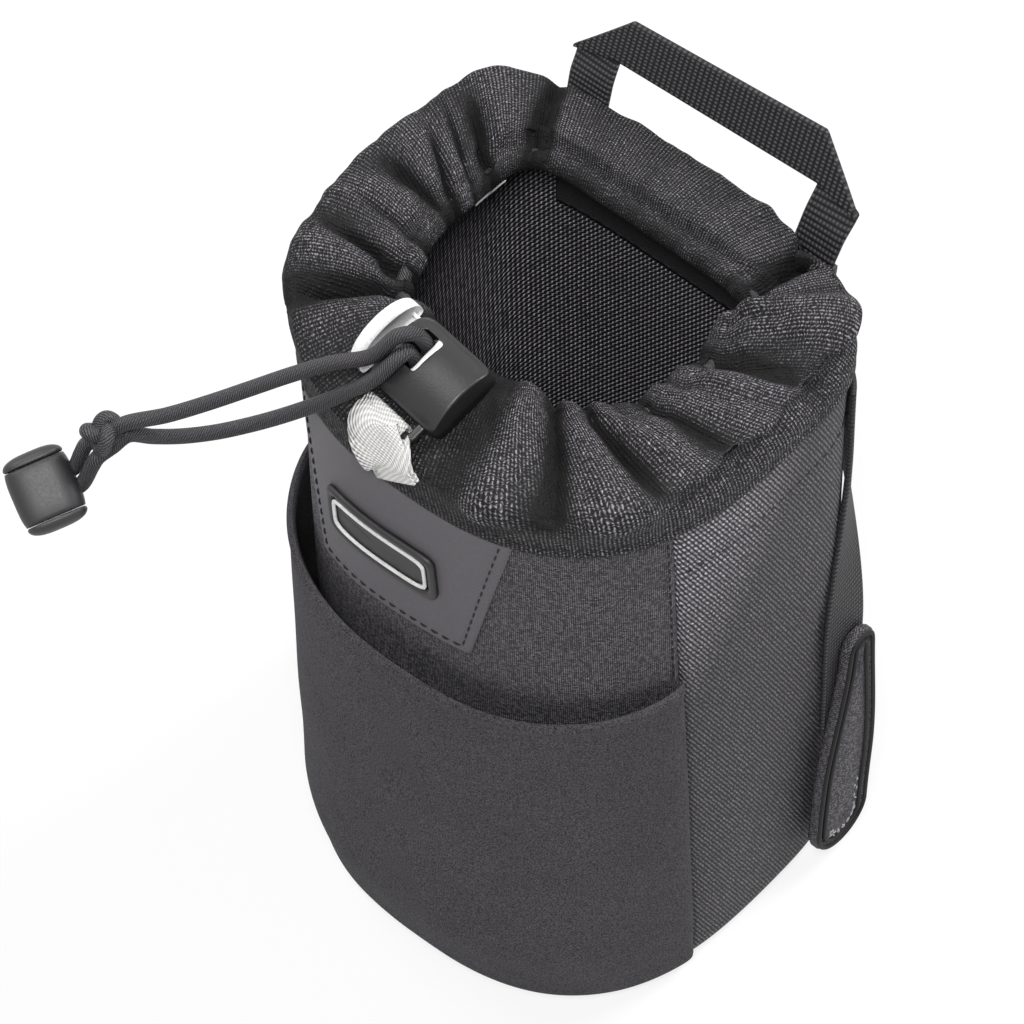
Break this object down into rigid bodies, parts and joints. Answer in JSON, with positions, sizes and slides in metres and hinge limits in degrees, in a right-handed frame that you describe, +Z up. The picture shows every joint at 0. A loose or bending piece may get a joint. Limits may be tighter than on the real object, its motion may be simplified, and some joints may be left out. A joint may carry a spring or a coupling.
{
  "type": "lens pouch",
  "caption": "Padded soft pouch with a round front, a gathered drawcord collar with a cord lock, a stretch front pocket, a webbing carry handle and belt straps behind.",
  "frame": {"origin": "middle of the base, on the floor", "axes": "+Z up, -Y to the round front with the pocket and badge, +X to the side whose belt strap shows in the picture"},
  "size_m": [0.1528, 0.1963, 0.2532],
  "materials": {
    "outer_fabric": "matt ripstop weave",
    "side_fabric": "matt heavy weave",
    "foam": "soft foam",
    "lining": "fine patterned weave",
    "stretch_fabric": "smooth stretch knit",
    "patch_fabric": "fine ribbed weave",
    "badge_rubber": "soft moulded",
    "badge_line": "soft moulded",
    "collar_fabric": "fine weave with a slight sheen",
    "white_elastic": "woven elastic",
    "cord": "braided elastic cord",
    "black_plastic": "satin moulded",
    "white_plastic": "semi-gloss moulded",
    "spring_steel": "bright wire",
    "hook_and_loop": "hook and loop pile",
    "label": "woven satin",
    "webbing": "ribbed webbing",
    "tab_fabric": "heavy weave with a bound edge"
  },
  "bodies": {
    "pouch": {"base_panel": "outer_fabric", "base_foam": "foam", "base_lining": "lining", "front_panel": "outer_fabric", "right_panel": "side_fabric", "left_panel": "side_fabric", "back_panel": "side_fabric", "front_foam": "foam", "right_foam": "foam", "left_foam": "foam", "back_foam": "foam", "wall_lining": "lining", "stretch_pocket": "stretch_fabric", "name_patch": "patch_fabric", "badge_frame": "badge_rubber", "badge_rim": "badge_line", "badge_plate": "badge_rubber", "collar": "collar_fabric", "lock_tether": "white_elastic", "drawcord": "cord", "cord_tail_upper": "cord", "cord_tail_lower": "cord", "cord_knot": "cord", "cord_stub_upper": "cord", "cord_stub_lower": "cord", "toggle_body": "black_plastic", "toggle_cap_left": "black_plastic", "toggle_cap_right": "black_plastic", "lock_barrel": "black_plastic", "lock_spring": "spring_steel", "inner_loop_strip": "hook_and_loop", "care_label": "label", "handle_anchor_left": "webbing", "handle_anchor_right": "webbing", "strap_anchor_right": "webbing", "strap_anchor_left": "webbing", "loop_patch_right": "hook_and_loop", "loop_patch_left": "hook_and_loop"},
    "carry_handle": {"carry_handle": "webbing"},
    "lock_button": {"lock_button": "white_plastic"},
    "belt_strap_right": {"belt_strap_right": "webbing", "belt_tab_right": "tab_fabric", "hook_patch_right": "hook_and_loop"},
    "belt_strap_left": {"belt_strap_left": "webbing", "belt_tab_left": "tab_fabric", "hook_patch_left": "hook_and_loop"}
  },
  "joints": [
    {"name": "button_press", "type": "slide", "parent": "pouch", "child": "lock_button", "axis": [0.9903, -0.1392, 0], "range_m": [0, 0.0033], "stiffness_N_per_m": 300, "deforming": ["lock_spring"]},
    {"name": "handle_swing", "type": "hinge", "parent": "pouch", "child": "carry_handle", "pos_m": [0, 0.0465, 0.223], "axis": [-1, 0, 0], "range_deg": [-20, 75]},
    {"name": "right_strap_swing", "type": "hinge", "parent": "pouch", "child": "belt_strap_right", "pos_m": [0.05687, 0.03774, 0.187], "axis": [0.796, -0.6053, 0], "range_deg": [0, 110]},
    {"name": "left_strap_swing", "type": "hinge", "parent": "pouch", "child": "belt_strap_left", "pos_m": [-0.05687, 0.03774, 0.187], "axis": [0.796, 0.6053, 0], "range_deg": [0, 110]}
  ]
}
